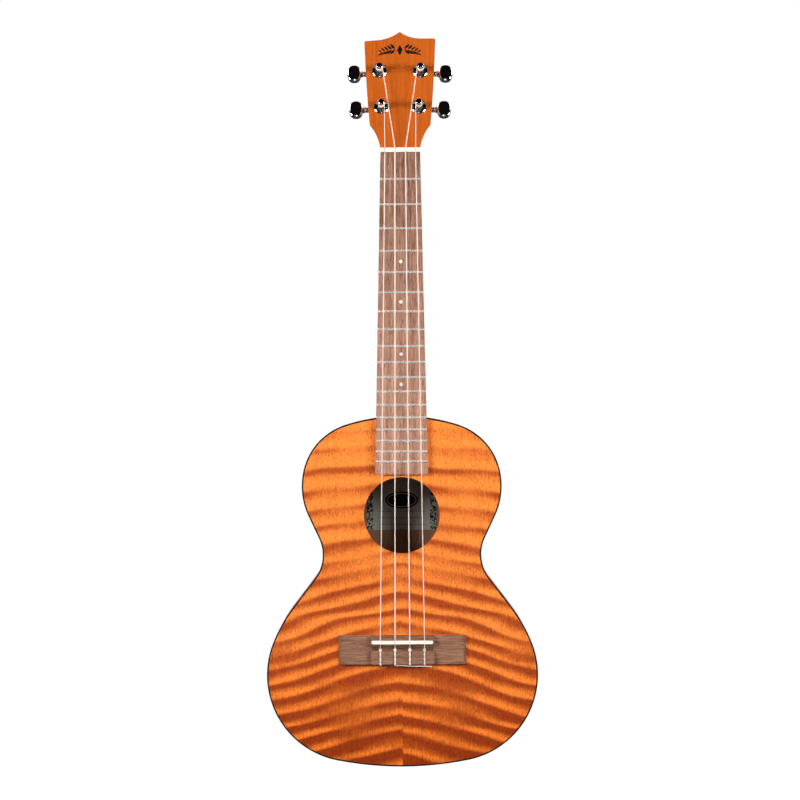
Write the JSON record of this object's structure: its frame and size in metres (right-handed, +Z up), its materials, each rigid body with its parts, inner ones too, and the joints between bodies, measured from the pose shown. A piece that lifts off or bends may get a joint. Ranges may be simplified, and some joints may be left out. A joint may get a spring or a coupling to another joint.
{
  "type": "ukulele",
  "caption": "Tenor ukulele with a flamed mahogany body, walnut fingerboard and tie bridge, nylon strings and geared side tuners that turn and wind.",
  "frame": {"origin": "centre line, mid-depth of the headstock's throat, where a wall hanger's two prongs hold it, 15 mm above the scale's zero at the nut's front edge", "axes": "+X right as seen from the front, -Y out of the front (soundboard and strings), +Z up the neck toward the headstock"},
  "size_m": [0.2448, 0.0822, 0.667],
  "materials": {
    "flamed_mahogany": "satin lacquer over flamed mahogany",
    "body_mahogany": "satin lacquer",
    "neck_mahogany": "satin lacquer",
    "walnut": "dry oiled",
    "spruce": "raw",
    "nickel_silver": "polished crowns",
    "white_bone": "polished",
    "nylon": "translucent",
    "chrome": "bright plating",
    "brass": "machined",
    "black_binding": "satin",
    "label_paper": "matt print"
  },
  "bodies": {
    "root": {"soundboard": "flamed_mahogany", "back": "body_mahogany", "side_left": "body_mahogany", "side_right": "body_mahogany", "neck_block": "body_mahogany", "tail_block": "body_mahogany", "top_brace_upper": "spruce", "top_brace_lower": "spruce", "back_brace": "spruce", "neck": "neck_mahogany", "fingerboard": "walnut", "nut": "white_bone", "bridge": "walnut", "saddle": "white_bone", "fret_01": "nickel_silver", "fret_02": "nickel_silver", "fret_03": "nickel_silver", "fret_04": "nickel_silver", "fret_05": "nickel_silver", "fret_06": "nickel_silver", "fret_07": "nickel_silver", "fret_08": "nickel_silver", "fret_09": "nickel_silver", "fret_10": "nickel_silver", "fret_11": "nickel_silver", "fret_12": "nickel_silver", "fret_13": "nickel_silver", "fret_14": "nickel_silver", "fret_15": "nickel_silver", "fret_16": "nickel_silver", "fret_17": "nickel_silver", "fret_18": "nickel_silver", "string_1": "nylon", "string_2": "nylon", "string_3": "nylon", "string_4": "nylon", "tuner_1_housing": "chrome", "tuner_1_bushing": "chrome", "tuner_2_housing": "chrome", "tuner_2_bushing": "chrome", "tuner_3_housing": "chrome", "tuner_3_bushing": "chrome", "tuner_4_housing": "chrome", "tuner_4_bushing": "chrome"},
    "tuner_1_key": {"tuner_1_worm_shaft": "chrome", "tuner_1_button": "chrome"},
    "tuner_1_spindle": {"tuner_1_post": "chrome", "tuner_1_wheel": "brass"},
    "tuner_2_key": {"tuner_2_worm_shaft": "chrome", "tuner_2_button": "chrome"},
    "tuner_2_spindle": {"tuner_2_post": "chrome", "tuner_2_wheel": "brass"},
    "tuner_3_key": {"tuner_3_worm_shaft": "chrome", "tuner_3_button": "chrome"},
    "tuner_3_spindle": {"tuner_3_post": "chrome", "tuner_3_wheel": "brass"},
    "tuner_4_key": {"tuner_4_worm_shaft": "chrome", "tuner_4_button": "chrome"},
    "tuner_4_spindle": {"tuner_4_post": "chrome", "tuner_4_wheel": "brass"}
  },
  "joints": [
    {"name": "tuner_1_turn", "type": "hinge", "parent": "root", "child": "tuner_1_key", "pos_m": [-0.01695, 0.02223, 0.02613], "axis": [1, 0, 0], "continuous": true},
    {"name": "tuner_1_wind", "type": "hinge", "parent": "root", "child": "tuner_1_spindle", "pos_m": [-0.01695, 0.00022, 0.02705], "axis": [0, -0.9659, 0.2588], "continuous": true},
    {"name": "tuner_2_turn", "type": "hinge", "parent": "root", "child": "tuner_2_key", "pos_m": [-0.0186, 0.03124, 0.05974], "axis": [1, 0, 0], "continuous": true},
    {"name": "tuner_2_wind", "type": "hinge", "parent": "root", "child": "tuner_2_spindle", "pos_m": [-0.0186, 0.00923, 0.06067], "axis": [0, -0.9659, 0.2588], "continuous": true},
    {"name": "tuner_3_turn", "type": "hinge", "parent": "root", "child": "tuner_3_key", "pos_m": [0.0186, 0.03124, 0.05974], "axis": [1, 0, 0], "continuous": true},
    {"name": "tuner_3_wind", "type": "hinge", "parent": "root", "child": "tuner_3_spindle", "pos_m": [0.0186, 0.00923, 0.06067], "axis": [0, -0.9659, 0.2588], "continuous": true},
    {"name": "tuner_4_turn", "type": "hinge", "parent": "root", "child": "tuner_4_key", "pos_m": [0.01695, 0.02223, 0.02613], "axis": [1, 0, 0], "continuous": true},
    {"name": "tuner_4_wind", "type": "hinge", "parent": "root", "child": "tuner_4_spindle", "pos_m": [0.01695, 0.00022, 0.02705], "axis": [0, -0.9659, 0.2588], "continuous": true}
  ],
  "couplings": [
    {"joint": "tuner_1_wind", "follows": "tuner_1_turn", "ratio": 0.071429},
    {"joint": "tuner_2_wind", "follows": "tuner_2_turn", "ratio": 0.071429},
    {"joint": "tuner_3_wind", "follows": "tuner_3_turn", "ratio": 0.071429},
    {"joint": "tuner_4_wind", "follows": "tuner_4_turn", "ratio": 0.071429}
  ]
}
